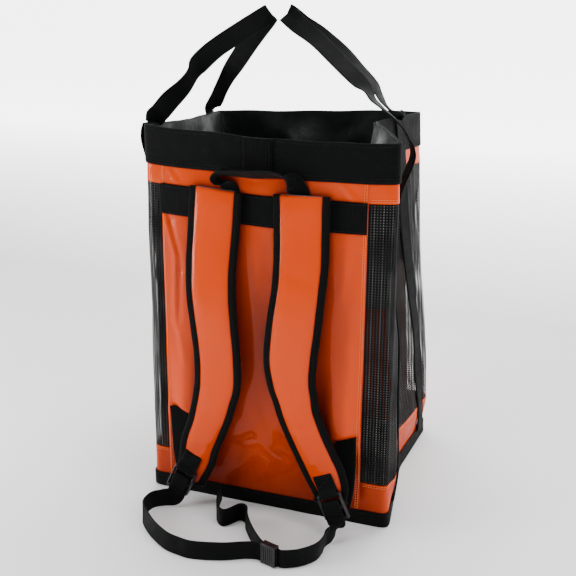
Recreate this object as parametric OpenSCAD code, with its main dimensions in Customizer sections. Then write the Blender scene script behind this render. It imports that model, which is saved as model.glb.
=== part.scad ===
// Open-top rope storage bag with shoulder straps: PVC and mesh walls, webbing rim and carry handles.
// Origin at the centre of the base underside, the harness side faces -Y, +Z is up, millimetres.

/* [Body] */
// Width of the base
base_w = 333; // [300:1:360]
// Depth of the base
base_d = 296; // [270:1:320]
// Height of the rim at the right rear corner
body_h = 495; // [460:1:520]
// How far the right gusset is pinched in at the rim
pinch_right = 45; // [20:1:60]
// How far the left gusset is pinched in at the rim
pinch_left = 15; // [5:1:40]
// How far the rear of the rim leans to the left
rim_lean = 14; // [0:1:25]

/* [Fabric] */
// Thickness of the wall fabric
panel_t = 1.6; // [1:0.1:2.5]
// Thickness of the webbing
webbing_t = 1.8; // [1.2:0.1:2.5]
// Width of the handle, side and haul loop webbing
webbing_w = 25; // [20:1:30]
// Height of the rim band
rim_band_h = 50; // [40:1:60]
// Height of the binding round the base
base_binding_h = 21; // [15:1:30]
// Height of the solid patches at the foot of the sides
bottom_patch_h = 60; // [45:1:75]
// Height of the solid patches at the top of the sides, rim band included
top_patch_h = 73; // [65:1:85]

/* [Harness] */
// Width of the horizontal harness band
harness_band_w = 38; // [30:1:50]
// Thickness of a shoulder strap
strap_t = 6.6; // [5:0.2:9]
// Width of the strap edge binding
strap_edge_w = 9; // [6:0.5:11]
// Length of a ladder lock below its pivot bar
lock_len = 34; // [28:1:38]
// Lean of the ladder locks away from the middle
lock_lean = 24; // [15:1:30]

/* [Hidden] */

orange = [0.91, 0.33, 0.06];
black = [0.09, 0.09, 0.09];
liner_green = [0.07, 0.1, 0.09];
layer_gap = 0.15;
web_gap = 0.7;
corner_cut = 14;
half_w = base_w / 2;
half_d = base_d / 2;

// ---- Plan of the bag: key points run anticlockwise from the left front corner ----
base_keys = [[-half_w, -half_d, 0], [-half_w + 26, -half_d, 0], [0, -half_d, 0], [half_w - 37, -half_d, 0],
    [half_w, -half_d, 0], [half_w - 20, 9, 0], [half_w - 9, half_d, 0], [half_w - 37, half_d, 0],
    [-half_w + 36, half_d, 0], [-half_w + 8, half_d, 0], [-half_w + 12, -10, 0]];
rim_keys = [[-half_w + 6, -half_d - 2, body_h + 4], [-half_w + 30, -half_d - 3, body_h + 2],
    [0, -half_d - 5, body_h - 5], [half_w - 38, -half_d - 5, body_h - 3], [half_w - 4, -half_d - 3, body_h - 1],
    [half_w - 21 - pinch_right, 5, body_h + 1], [half_w - 24 - rim_lean, half_d - 6, body_h],
    [half_w - 52 - rim_lean, half_d - 6, body_h], [-half_w + 42 - rim_lean, half_d - 22, body_h - 9],
    [-half_w + 6 - rim_lean, half_d - 32, body_h - 10], [-half_w + pinch_left, -60, body_h - 3]];
// Webbing edges on each side wall, as shares of the run between two key points: base, then rim
right_front_web = [[0.24, 0.40], [0.11, 0.26]];
right_back_web = [[0.66, 0.84], [0.36, 0.54]];
left_back_web = [[0.17, 0.33], [0.10, 0.24]];
left_front_web = [[0.54, 0.72], [0.56, 0.83]];

function unit(v) = v / norm(v);
function mix(a, b, s) = a + (b - a) * s;
function corner(a, p, b) =
    let (p0 = p + unit(a - p) * corner_cut, p2 = p + unit(b - p) * corner_cut)
    [p0, 0.25 * p0 + 0.5 * p + 0.25 * p2, p2];
function run(a, b, shares) = [mix(a, b, shares[0]), mix(a, b, shares[1])];
// 31 points: corners and creases take three each, seams one, webbing edges two
function plan(k, w) = concat(corner(k[10], k[0], k[1]), [k[1], k[2], k[3]], corner(k[3], k[4], k[5]),
    run(k[4], k[5], right_front_web[w]), corner(k[4], k[5], k[6]), run(k[5], k[6], right_back_web[w]),
    corner(k[5], k[6], k[7]), [k[7], k[8]], corner(k[8], k[9], k[10]),
    run(k[9], k[10], left_back_web[w]), corner(k[9], k[10], k[0]), run(k[10], k[0], left_front_web[w]));
base_plan = plan(base_keys, 0);
rim_plan = plan(rim_keys, 1);
plan_count = len(base_plan);
seam_front_left = 3;
seam_front_right = 5;
web_right_front = 9;
web_right_back = 14;
seam_back_right = 19;
seam_back_left = 20;
web_left_back = 24;
web_left_front = 29;

// ---- Levels up the wall, as shares of the rim height ----
share_binding = base_binding_h / body_h;
share_bottom_patch = bottom_patch_h / body_h;
share_top_patch = 1 - top_patch_h / body_h;
share_band = 1 - rim_band_h / body_h;
levels = [0, share_binding, share_bottom_patch, 0.36, 0.6, share_top_patch, share_band, 1];
function levels_between(a, b) = [for (l = levels) if (l > a - 0.001 && l < b + 0.001) l];
function loop_at(s) = [for (i = [0:plan_count - 1]) mix(base_plan[i], rim_plan[i], s)];
function edge_normal(a, b) = let (d = unit([b.x - a.x, b.y - a.y])) [d.y, -d.x];
function outset(loop, dist) = [for (i = [0:plan_count - 1])
    let (q = loop[i],
        n1 = edge_normal(loop[(i + plan_count - 1) % plan_count], q),
        n2 = edge_normal(q, loop[(i + 1) % plan_count]),
        m = (n1 + n2) / (1 + n1 * n2))
    [q.x + m.x * dist, q.y + m.y * dist, q.z]];

// ---- Block: a solid between two matching grids of points, columns first ----
function quad(a, b, c, d) = [[a, b, c], [a, c, d]];
function flatten(list) = [for (part = list) for (item = part) item];
function block_faces(cols, rows, closed) =
    let (n = cols * rows, last = closed ? cols - 1 : cols - 2)
    concat(
        flatten([for (i = [0:last]) let (a = i * rows, b = ((i + 1) % cols) * rows)
            flatten([for (j = [0:rows - 2]) concat(
                quad(a + j, a + j + 1, b + j + 1, b + j),
                quad(n + a + j, n + b + j, n + b + j + 1, n + a + j + 1))])]),
        flatten([for (i = [0:last]) let (a = i * rows, b = ((i + 1) % cols) * rows, t = rows - 1) concat(
            quad(a, b, n + b, n + a),
            quad(a + t, n + a + t, n + b + t, b + t))]),
        closed ? [] : flatten([for (j = [0:rows - 2]) let (e = (cols - 1) * rows) concat(
            quad(j, n + j, n + j + 1, j + 1),
            quad(e + j, e + j + 1, n + e + j + 1, n + e + j))]));
module block(outer, inner, closed = false) {
    polyhedron(points = concat(flatten(outer), flatten(inner)),
        faces = block_faces(len(outer), len(outer[0]), closed), convexity = 6);
}

// Wall section from plan point i0 to i1, between two heights and two offsets from the outer surface
module wall(i0, i1, low, high, off_in, off_out) {
    loops = [for (s = levels_between(low, high)) loop_at(s)];
    outer_loops = [for (l = loops) outset(l, off_out)];
    inner_loops = [for (l = loops) outset(l, off_in)];
    block([for (i = [i0:i1]) [for (l = outer_loops) l[i % plan_count]]],
        [for (i = [i0:i1]) [for (l = inner_loops) l[i % plan_count]]]);
}
module wall_ring(shares, off_in, off_out) {
    outer_loops = [for (s = shares) outset(loop_at(s), off_out)];
    inner_loops = [for (s = shares) outset(loop_at(s), off_in)];
    block([for (i = [0:plan_count - 1]) [for (l = outer_loops) l[i]]],
        [for (i = [0:plan_count - 1]) [for (l = inner_loops) l[i]]], closed = true);
}

// ---- Smooth paths and ribbons of webbing ----
function spline(p0, p1, p2, p3, t) = 0.5 * (2 * p1 + (p2 - p0) * t
    + (2 * p0 - 5 * p1 + 4 * p2 - p3) * t * t + (3 * p1 - p0 - 3 * p2 + p3) * t * t * t);
function smooth(path, steps) = let (n = len(path)) concat(
    [for (i = [0:n - 2]) for (s = [0:steps - 1])
        spline(path[max(i - 1, 0)], path[i], path[i + 1], path[min(i + 2, n - 1)], s / steps)],
    [path[n - 1]]);
function tangent(path, i) = unit(path[min(i + 1, len(path) - 1)] - path[max(i - 1, 0)]);
function square_to(w, t) = unit(w - t * (w * t));

// A ribbon along path; half holds the half width at each point, lateral the direction of its width.
// Each edge sits at side * half + shift; lift0 and lift1 are heights off the path along the normal.
module strip(path, lateral, half, edge0, edge1, lift0, lift1) {
    frames = [for (i = [0:len(path) - 1])
        let (t = tangent(path, i), w = square_to(lateral[i], t)) [w, unit(cross(w, t))]];
    function point(i, edge, lift) =
        path[i] + frames[i][0] * (edge[0] * half[i] + edge[1]) + frames[i][1] * lift;
    block([for (edge = [edge0, edge1]) [for (i = [0:len(path) - 1]) point(i, edge, lift1)]],
        [for (edge = [edge0, edge1]) [for (i = [0:len(path) - 1]) point(i, edge, lift0)]]);
}
module ribbon(path, lateral, width = webbing_w, thick = webbing_t) {
    strip(path, lateral, [for (p = path) width / 2], [-1, 0], [1, 0], -thick / 2, thick / 2);
}

// ---- Walls ----
module front_panel() {
    color(orange) wall(seam_front_left, seam_front_right, 0, 1, -panel_t, 0);
}
module back_panel() {
    color(orange) wall(seam_back_right, seam_back_left, 0, 1, -panel_t, 0);
}
module side_wall(right, low, high) {
    first = right ? seam_front_right : seam_back_left;
    last = right ? seam_back_right : plan_count + seam_front_left;
    wall(first, last, low, high, -panel_t, 0);
}
module side_mesh_left() {
    color(black) side_wall(false, share_bottom_patch, share_top_patch);
}
module side_mesh_right() {
    color(black) side_wall(true, share_bottom_patch, share_top_patch);
}
module side_top_patch_left() {
    color(orange) side_wall(false, share_top_patch, 1);
}
module side_top_patch_right() {
    color(orange) side_wall(true, share_top_patch, 1);
}
module side_bottom_patch_left() {
    color(orange) side_wall(false, 0, share_bottom_patch);
}
module side_bottom_patch_right() {
    color(orange) side_wall(true, 0, share_bottom_patch);
}
module base_panel() {
    color(black) linear_extrude(2) polygon([for (p = outset(base_plan, -panel_t - 0.6)) [p.x, p.y]]);
}
module base_binding() {
    color(black) wall_ring([0, share_binding], layer_gap, layer_gap + webbing_t);
}
module rim_band() {
    color(black) wall_ring([share_band, 1], layer_gap, layer_gap + webbing_t);
}
module liner_collar() {
    color(liner_green) wall_ring([0.6, share_top_patch, share_band, 0.995], -panel_t - 1.6, -panel_t - 0.6);
}

// ---- Webbing sewn up the sides, which leaves the wall below the rim band and passes outside it ----
web_shares = [share_binding, share_bottom_patch, 0.36, 0.6, share_top_patch, 0.875, 0.9, 0.925, 0.955, 0.98, 1];
web_bulge = [0, 0, 0, 0, 0, 0.3, 3.5, 9, 13, 11, 7];
module side_webbing(i0) {
    loops_in = [for (j = [0:len(web_shares) - 1]) outset(loop_at(web_shares[j]), web_gap + web_bulge[j])];
    loops_out = [for (j = [0:len(web_shares) - 1])
        outset(loop_at(web_shares[j]), web_gap + webbing_t + web_bulge[j])];
    color(black) block([for (i = [i0, i0 + 1]) [for (l = loops_out) l[i]]],
        [for (i = [i0, i0 + 1]) [for (l = loops_in) l[i]]]);
}
module side_webbing_left_front() { side_webbing(web_left_front); }
module side_webbing_left_back() { side_webbing(web_left_back); }
module side_webbing_right_front() { side_webbing(web_right_front); }
module side_webbing_right_back() { side_webbing(web_right_back); }

// ---- Carry handles: two legs that rise from the rim and meet at a folded top ----
// Each leg: route points from the rim to the fold, then the direction of the width at each point.
handle_left_axis = [[-166, -122, 500], [-179, 85, 489.5]];
handle_right_axis = [[159, -119, 497.5], [121.5, 65, 498.5]];
fold_lateral = [0.68, 0, -0.73];
module handle(front_route, front_lateral, back_route, back_lateral) {
    steps = 4;
    color(black) union() {
        ribbon(smooth(front_route, steps), smooth(front_lateral, steps));
        ribbon(smooth(back_route, steps), smooth(back_lateral, steps));
        ribbon([front_route[len(front_route) - 1] - [0, 1.5, 0], back_route[len(back_route) - 1] + [0, 1.5, 0]],
            [last_of(front_lateral), last_of(front_lateral)], webbing_w, 2.4);
    }
}
function last_of(list) = list[len(list) - 1];
module handle_left() {
    along = unit(handle_left_axis[1] - handle_left_axis[0]);
    turned = unit(fold_lateral - along);
    handle([handle_left_axis[0], [-150, -115, 525], [-112, -98, 558], [-75, -66, 592], [-40, -34, 626]],
        [-along, -along, turned, fold_lateral, fold_lateral],
        [handle_left_axis[1], [-156, 73, 528], [-117, 38, 566], [-78, -4, 600], [-42, -28, 628]],
        [-along, -along, turned, fold_lateral, fold_lateral]);
}
module handle_right() {
    along = unit(handle_right_axis[1] - handle_right_axis[0]);
    lateral = [0.6, 0.1, 0.79];
    turned = unit(lateral + along);
    handle([handle_right_axis[0], [140, -117, 519], [112, -106, 548], [62, -78, 588], [-4, -50, 627]],
        [along, turned, lateral, lateral, lateral],
        [handle_right_axis[1], [103, 50, 526], [83, 14, 565], [38, -18, 603], [-2, -44, 630]],
        [along, turned, lateral, lateral, lateral]);
}

// ---- Harness on the front ----
harness_band_z = 388;
seam_share = 0.99;
module harness_band() {
    low = harness_band_z / body_h;
    high = low + harness_band_w / body_h;
    outer_loops = [for (s = [low, high]) outset(loop_at(s), web_gap + webbing_t)];
    inner_loops = [for (s = [low, high]) outset(loop_at(s), web_gap)];
    function across(l, i) = i == 1 ? l[4] : mix(l[4], i == 0 ? l[3] : l[5], seam_share);
    color(black) block([for (i = [0:2]) [for (l = outer_loops) across(l, i)]],
        [for (i = [0:2]) [for (l = inner_loops) across(l, i)]]);
}
haul_axis_y = -158;
haul_axis_z = 433;
module haul_loop() {
    route = [[-54, haul_axis_y, haul_axis_z], [-57, -165, 442], [-46, -174, 449], [-20, -176, 448],
        [12, -175, 451], [36, -171, 448], [46, -164, 441], [47, haul_axis_y, haul_axis_z]];
    lateral = [[1, 0, 0], [0.9, -0.4, 0], [0.4, -0.8, 0.4], [0, -0.85, 0.5],
        [0, -0.85, 0.5], [-0.4, -0.8, 0.4], [-0.9, -0.4, 0], [-1, 0, 0]];
    color(black) ribbon(smooth(route, 3), smooth(lateral, 3));
}

// ---- Shoulder straps: route of the middle from the lower end up, and the half width at each point ----
strap_left_route = [[-97, -174.5, 36], [-87, -174.5, 66], [-81.5, -174.5, 90], [-73, -174.5, 113],
    [-65.5, -174.5, 136], [-60, -174.5, 158], [-55.5, -174.5, 182], [-56, -174.5, 220], [-60, -173.5, 258],
    [-64.5, -170.5, 296], [-65.5, -166, 334], [-63.5, -161.5, 375], [-60.5, -159, 427]];
strap_left_half = [21, 25.5, 27, 27.5, 29, 30, 31.5, 31.5, 32, 33, 33.5, 34, 34];
strap_right_route = [[97, -174.5, 40], [95.5, -174.5, 59], [88, -174.5, 79], [78.5, -174.5, 98],
    [69, -174.5, 117], [60, -174.5, 137], [52.5, -174.5, 156], [48, -174.5, 175], [43, -174.5, 195],
    [41, -174.5, 225], [45, -172.5, 272], [48.5, -169, 309], [50, -164.5, 345], [49, -161, 382], [48, -159, 427]];
strap_right_half = [20, 25, 27.5, 27.5, 27.5, 28, 28.5, 30, 32, 34.5, 35, 34, 34.5, 34.5, 35];
strap_steps = 2;
face_t = 1;
module strap_layer(route, half, edge0, edge1, lift0, lift1) {
    path = smooth(route, strap_steps);
    strip(path, [for (p = path) [1, 0, 0]], smooth(half, strap_steps), edge0, edge1, lift0, lift1);
}
module strap_face(route, half) {
    color(orange) strap_layer(route, half, [-1, strap_edge_w], [1, -strap_edge_w], strap_t / 2 - face_t, strap_t / 2);
}
module strap_lining(route, half) {
    color(black) strap_layer(route, half, [-1, strap_edge_w], [1, -strap_edge_w], -strap_t / 2, face_t - strap_t / 2);
}
module strap_foam(route, half) {
    color("dimgray") strap_layer(route, half, [-1, strap_edge_w], [1, -strap_edge_w],
        face_t - strap_t / 2, strap_t / 2 - face_t);
}
module strap_binding(route, half) {
    color(black) {
        strap_layer(route, half, [-1, 0], [-1, strap_edge_w], -strap_t / 2, strap_t / 2);
        strap_layer(route, half, [1, -strap_edge_w], [1, 0], -strap_t / 2, strap_t / 2);
    }
}
module strap_face_left() { strap_face(strap_left_route, strap_left_half); }
module strap_foam_left() { strap_foam(strap_left_route, strap_left_half); }
module strap_binding_left() { strap_binding(strap_left_route, strap_left_half); }
module strap_lining_left() { strap_lining(strap_left_route, strap_left_half); }
module strap_face_right() { strap_face(strap_right_route, strap_right_half); }
module strap_foam_right() { strap_foam(strap_right_route, strap_right_half); }
module strap_binding_right() { strap_binding(strap_right_route, strap_right_half); }
module strap_lining_right() { strap_lining(strap_right_route, strap_right_half); }

// ---- Ladder locks, each on a bar held by the webbing loop at a strap's lower end ----
lock_left_pos = [-100, -182.3, 51];
lock_right_pos = [97, -182.3, 54];
lock_inner_w = 26;
lock_rail_w = 3;
lock_bar_r = 2.2;
loop_hole_r = 2.6;
loop_wall_t = 1.6;
loop_len = 26;
loop_tab_t = 3.2;
module across_x(length) { rotate([0, 90, 0]) translate([0, 0, -length / 2]) children(); }
module ladder_lock() {
    outer_w = lock_inner_w + 2 * lock_rail_w;
    color(black) union() {
        across_x(outer_w) cylinder(r = lock_bar_r, h = outer_w, $fn = 32);
        for (side = [-1, 1])
            translate([side * (outer_w - lock_rail_w) / 2 - lock_rail_w / 2, -lock_bar_r, -lock_len])
                cube([lock_rail_w, 2 * lock_bar_r, lock_len]);
        translate([-outer_w / 2, -lock_bar_r - 1, -lock_len * 0.58])
            cube([outer_w, 2 * lock_bar_r, 4]);
        translate([-outer_w / 2, -lock_bar_r - 0.8, -lock_len])
            cube([outer_w, 2 * lock_bar_r + 0.8, 5]);
    }
}
module end_loop() {
    outer_r = loop_hole_r + loop_wall_t;
    color(black) difference() {
        union() {
            across_x(webbing_w) cylinder(r = outer_r, h = webbing_w, $fn = 32);
            translate([-webbing_w / 2, outer_r - loop_tab_t, 0]) cube([webbing_w, loop_tab_t, loop_len]);
        }
        across_x(webbing_w + 2) cylinder(r = loop_hole_r, h = webbing_w + 2, $fn = 32);
    }
}
module at_lock(pos, lean) { translate(pos) rotate([0, lean, 0]) children(); }
module ladder_lock_left() { at_lock(lock_left_pos, lock_lean) ladder_lock(); }
module ladder_lock_right() { at_lock(lock_right_pos, -lock_lean) ladder_lock(); }
module strap_end_loop_left() { at_lock(lock_left_pos, lock_lean) end_loop(); }
module strap_end_loop_right() { at_lock(lock_right_pos, -lock_lean) end_loop(); }

// ---- Anchor webbing from the lower panel to the back of each ladder lock ----
module anchor(route) {
    path = smooth(route, 3);
    color(black) ribbon(path, [for (p = path) [1, 0, 0]]);
}
module anchor_webbing_left() {
    anchor([[-122.5, -151.4, 117], [-119, -156, 98], [-114.5, -163, 79], [-110, -168, 60], [-107, -169, 44],
        [-107, -170, 35], [-108, -173, 27], [-109, -177, 20]]);
}
module anchor_webbing_right() {
    anchor([[109, -152, 120], [111.5, -158, 100], [113, -164, 80], [113, -168, 60], [111, -169, 45],
        [109.5, -170, 36], [108, -173, 28], [107, -177, 20]]);
}

// ---- Free webbing on the floor: the two strap tails, joined by a small buckle ----
tail_left_route = [[-110, -188.5, 24], [-114, -192, 15], [-126, -196, 13], [-138, -207, 13], [-140, -225, 13],
    [-135, -238, 13], [-126, -249, 13], [-105, -268, 13], [-80, -284, 13], [-60, -289.5, 13], [-40, -291, 13],
    [-6, -282, 13], [18, -270.5, 13], [34, -266.3, 13], [49, -270.9, 13]];
tail_right_route = [[108, -188.5, 27], [111.5, -192, 18], [108, -200, 13.5], [103, -213, 13], [103.5, -228, 13],
    [100, -245, 13], [86, -262, 13], [68, -271.8, 13], [59.5, -269.8, 13], [42, -264.4, 13], [28, -252, 13],
    [10, -230, 13], [-2, -212, 13], [-9, -197, 13], [-19, -195, 13], [-32, -214, 13], [-44, -207, 13],
    [-52, -190, 13], [-58, -170, 13], [-60, -159, 14]];
tail_t = 3;
// The webbing leaves the ladder lock lying flat, then turns on edge to curve along the floor
module web_cord(route, lean) {
    path = smooth(route, 3);
    start = [cos(lean), 0, -sin(lean)];
    edge = [0, 0, lean > 0 ? -1 : 1];
    turn_rings = 7;
    sides = 8;
    rings = [for (i = [0:len(path) - 1])
        let (t = tangent(path, i), w = square_to(mix(start, edge, min(i / turn_rings, 1)), t), n = cross(w, t))
        [for (a = [0:sides - 1]) let (angle = 360 * a / sides)
            path[i] + w * webbing_w / 2 * cos(angle) + n * tail_t / 2 * sin(angle)]];
    last = len(path) - 1;
    color(black) polyhedron(points = flatten(rings), faces = concat(
        [[for (a = [sides - 1:-1:0]) a]],
        flatten([for (i = [0:last - 1]) flatten([for (a = [0:sides - 1])
            let (b = (a + 1) % sides, p = i * sides, q = p + sides)
            quad(p + a, p + b, q + b, q + a)])]),
        [[for (a = [0:sides - 1]) last * sides + a]]), convexity = 10);
}
module strap_tail_left() { web_cord(tail_left_route, lock_lean); }
module strap_tail_right() { web_cord(tail_right_route, -lock_lean); }
buckle_pos = [50, -269, 0.3];
buckle_yaw = -17;
buckle_size = [21, 9, 27.4];
buckle_slot = [22, 3.2, 25.4];
module belt_buckle() {
    color(black) translate(buckle_pos) rotate([0, 0, buckle_yaw]) difference() {
        translate([-buckle_size.x / 2, -buckle_size.y / 2, 0]) cube(buckle_size);
        for (side = [-1, 1])
            translate([-buckle_slot.x / 2, side * 2.05 - buckle_slot.y / 2, 1]) cube(buckle_slot);
    }
}

front_panel();
back_panel();
side_mesh_left();
side_mesh_right();
side_top_patch_left();
side_top_patch_right();
side_bottom_patch_left();
side_bottom_patch_right();
base_panel();
base_binding();
rim_band();
liner_collar();
harness_band();
haul_loop();
side_webbing_left_front();
side_webbing_left_back();
side_webbing_right_front();
side_webbing_right_back();
handle_left();
handle_right();
strap_face_left();
strap_foam_left();
strap_binding_left();
strap_lining_left();
strap_end_loop_left();
strap_face_right();
strap_foam_right();
strap_binding_right();
strap_lining_right();
strap_end_loop_right();
ladder_lock_left();
ladder_lock_right();
anchor_webbing_left();
anchor_webbing_right();
strap_tail_left();
strap_tail_right();
belt_buckle();
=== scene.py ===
import bpy
import bmesh
import math
import numpy as np
from mathutils import Matrix, Vector, noise


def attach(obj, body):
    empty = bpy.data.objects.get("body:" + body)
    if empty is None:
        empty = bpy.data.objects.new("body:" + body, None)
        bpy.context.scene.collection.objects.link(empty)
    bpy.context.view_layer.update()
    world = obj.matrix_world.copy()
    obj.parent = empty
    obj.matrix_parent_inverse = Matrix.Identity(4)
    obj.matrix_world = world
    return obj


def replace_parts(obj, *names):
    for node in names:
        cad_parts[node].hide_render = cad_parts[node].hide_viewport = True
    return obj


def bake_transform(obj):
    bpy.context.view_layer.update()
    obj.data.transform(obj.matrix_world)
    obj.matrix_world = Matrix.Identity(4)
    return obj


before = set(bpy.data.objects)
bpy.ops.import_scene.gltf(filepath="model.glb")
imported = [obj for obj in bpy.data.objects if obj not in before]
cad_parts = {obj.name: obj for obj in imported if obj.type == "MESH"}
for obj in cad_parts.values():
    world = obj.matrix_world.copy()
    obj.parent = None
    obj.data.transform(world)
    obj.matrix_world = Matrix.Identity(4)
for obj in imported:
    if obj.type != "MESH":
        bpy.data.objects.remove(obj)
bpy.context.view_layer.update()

# Lengths are in millimetres until a mesh is made; meshes, materials, camera and lights are in metres.
MM = 0.001

# Spacing of the holes of the net, used by its mesh and by its finish
NET_PITCH_ACROSS = 4.0
NET_PITCH_UP = 3.3

# ---------------------------------------------------------------- camera
# The columns of the axes are the camera's right, up and backward directions
CAMERA_PLACE = (0.3615, -1.1185, 0.6415)
CAMERA_AXES = ((0.9450, -0.1088, 0.3086), (0.3271, 0.2889, -0.8998), (0.0088, 0.9512, 0.3085))
camera_data = bpy.data.cameras.new("camera")
camera_data.sensor_width = 36
camera_data.lens = 55.19
camera = bpy.data.objects.new("camera", camera_data)
bpy.context.scene.collection.objects.link(camera)
camera.matrix_world = Matrix.Translation(CAMERA_PLACE) @ Matrix(CAMERA_AXES).to_4x4()
bpy.context.scene.camera = camera


# ---------------------------------------------------------------- shader helpers
class Shader:
    """A Principled material built from short calls; values go straight on to sockets."""

    def __init__(self, name, colour, roughness, **settings):
        self.material = bpy.data.materials.new(name)
        self.material.use_nodes = True
        self.tree = self.material.node_tree
        self.main = self.tree.nodes["Principled BSDF"]
        self.main.inputs["Base Color"].default_value = (*colour, 1)
        self.main.inputs["Roughness"].default_value = roughness
        for socket, value in settings.items():
            self.main.inputs[socket.replace("_", " ")].default_value = value
        self.relief = None

    def node(self, kind, inputs=(), **settings):
        made = self.tree.nodes.new("ShaderNode" + kind)
        for key, value in settings.items():
            setattr(made, key, value)
        for key, value in dict(inputs).items():
            if isinstance(value, bpy.types.NodeSocket):
                self.tree.links.new(value, made.inputs[key])
            else:
                made.inputs[key].default_value = value
        return made

    def math(self, operation, *values):
        return self.node("Math", dict(enumerate(values)), operation=operation).outputs[0]

    def uv(self):
        """The two lengths along and across a piece, in metres."""
        place = self.node("TexCoord").outputs["UV"]
        split = self.node("SeparateXYZ", {0: place})
        return split.outputs["X"], split.outputs["Y"]

    def place(self):
        return self.node("TexCoord").outputs["Object"]

    def noise(self, scale, detail=3.0, vector=None, roughness=0.5):
        inputs = {"Scale": scale, "Detail": detail, "Roughness": roughness,
                  "Vector": vector or self.place()}
        return self.node("TexNoise", inputs).outputs["Fac"]

    def ripple(self, length, pitch):
        """A wave from 0 to 1 along a length, one crest for each pitch."""
        angle = self.math("MULTIPLY", length, 2 * math.pi / pitch)
        return self.math("MULTIPLY_ADD", self.math("SINE", angle), 0.5, 0.5)

    def ramp(self, value, low, high, start, end):
        """start to end as value goes from low to high."""
        inputs = {"Value": value, "From Min": low, "From Max": high, "To Min": start, "To Max": end}
        return self.node("MapRange", inputs).outputs["Result"]

    def tint(self, colour, other, factor):
        """Base colour that goes from colour to other with factor."""
        first = colour if isinstance(colour, bpy.types.NodeSocket) else (*colour, 1)
        mixed = self.node("Mix", {0: factor, 6: first, 7: (*other, 1)}, data_type="RGBA").outputs[2]
        self.link(mixed, "Base Color")
        return mixed

    def link(self, value, socket):
        self.tree.links.new(value, self.main.inputs[socket])

    def edge(self):
        """The value stored on a piece's points: worn edges on webbing, painted glints on the net, and the
        inner faces of coated cloth that take a painted shade.
        """
        return self.node("Attribute", attribute_name="edge").outputs["Fac"]

    def bump(self, value, distance, strength):
        """Relief from a height value; a later call adds to an earlier one."""
        inputs = {"Height": value, "Distance": distance, "Strength": strength}
        if self.relief is not None:
            inputs["Normal"] = self.relief
        self.relief = self.node("Bump", inputs).outputs["Normal"]
        self.link(self.relief, "Normal")


# The inner faces of coated cloth are painted dark red, a painted shade for the dim inside of the bag
INSIDE_PAINTED_SHADE_COLOUR = (0.10, 0.008, 0.002)
SCRIM_PITCH = 0.0024
# How far the painted shade of the coated cloth looks for pieces standing close over it
SHADE_REACH = 0.16


def coated_fabric(name, colour, painted_shade_colour):
    """Glossy PVC on a woven scrim: a wavy gloss, and a fine grid that just prints through.

    An ambient occlusion value darkens its colour towards the painted shade colour, a painted shade where
    other pieces stand close over it; its reverse is painted dark, a painted shade for the dim inside of the
    bag.
    """
    made = Shader(name, colour, 0.35, Coat_Weight=0.34, Coat_Roughness=0.03, Specular_IOR_Level=0.0)
    # painted shade: the ambient occlusion value mixes the colour towards the dark painted shade colour
    painted_shade_ao = made.node("AmbientOcclusion", {"Distance": SHADE_REACH}, samples=8).outputs["AO"]
    outer = made.tint(painted_shade_colour, colour, made.ramp(painted_shade_ao, 0.2, 0.95, 0, 1))
    # painted shade: the inner faces, flagged by the edge value, take the dark inside colour
    made.tint(outer, INSIDE_PAINTED_SHADE_COLOUR, made.edge())
    made.link(made.ramp(made.noise(38, 5), 0.35, 0.75, 0.3, 0.5), "Roughness")
    x, y = made.uv()
    scrim = made.math("ADD", made.ripple(x, SCRIM_PITCH), made.ripple(y, SCRIM_PITCH))
    made.bump(scrim, 0.00003, 0.35)
    made.bump(made.noise(16, 2), 0.0028, 0.6)
    return made.material


def webbing_fabric(name, colour, light, rib=0.0021):
    """Woven nylon: ribs across, a fine weave along, a paler fuzz on the edges."""
    made = Shader(name, colour, 0.72, Sheen_Weight=0.02, Sheen_Roughness=0.4, Specular_IOR_Level=0.06)
    x, y = made.uv()
    cloud = made.noise(60, 4)
    thread = made.noise(900, 2)
    mixed = made.math("ADD", made.math("MULTIPLY", cloud, 0.5), made.math("MULTIPLY", thread, 0.35))
    mixed = made.math("ADD", mixed, made.math("MULTIPLY", made.edge(), 0.35))
    made.tint(colour, light, made.ramp(mixed, 0.3, 1.0, 0, 1))
    made.link(made.ramp(cloud, 0.3, 0.7, 0.62, 0.82), "Roughness")
    weave = made.math("MULTIPLY", made.ripple(x, rib), made.ripple(y, rib * 0.6))
    made.bump(weave, 0.00035, 0.8)
    made.bump(made.noise(45, 2), 0.0012, 0.4)
    return made.material


def net_fabric(name, colour, light):
    """Coated polyester net: strands with a faint shine, and a painted glint: a paler dot where they cross."""
    made = Shader(name, colour, 0.55, Specular_IOR_Level=0.06, Sheen_Weight=0.0)
    x, y = made.uv()
    cloud = made.ramp(made.noise(22, 3), 0.35, 0.62, 0.2, 1)
    column = made.ramp(made.ripple(x, NET_PITCH_ACROSS * MM), 0.4, 0.9, 0, 1)
    row = made.ramp(made.ripple(y, NET_PITCH_UP * MM), 0.4, 0.9, 0, 1)
    # painted glint: paler dots at the crossings of the strands, on the knots flagged by the edge value
    painted_glint_dots = made.math("MULTIPLY", made.edge(), made.math("MULTIPLY", column, row))
    made.tint(colour, light, made.math("MULTIPLY", painted_glint_dots, cloud))
    made.bump(made.math("ADD", made.ripple(x, 0.001), made.ripple(y, 0.0009)), 0.0002, 0.6)
    return made.material


def liner_fabric(name, colour, light):
    """Thin coated nylon: soft sheen, tiny creases and a fine taffeta weave."""
    made = Shader(name, colour, 0.42, Sheen_Weight=0.03, Specular_IOR_Level=0.16)
    made.tint(colour, light, made.ramp(made.noise(12, 4), 0.35, 0.75, 0, 1))
    made.link(made.ramp(made.noise(50, 5), 0.3, 0.7, 0.34, 0.58), "Roughness")
    x, y = made.uv()
    made.bump(made.math("ADD", made.ripple(x, 0.0011), made.ripple(y, 0.0011)), 0.00004, 0.4)
    made.bump(made.noise(34, 5, roughness=0.6), 0.0036, 0.7)
    return made.material


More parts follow.
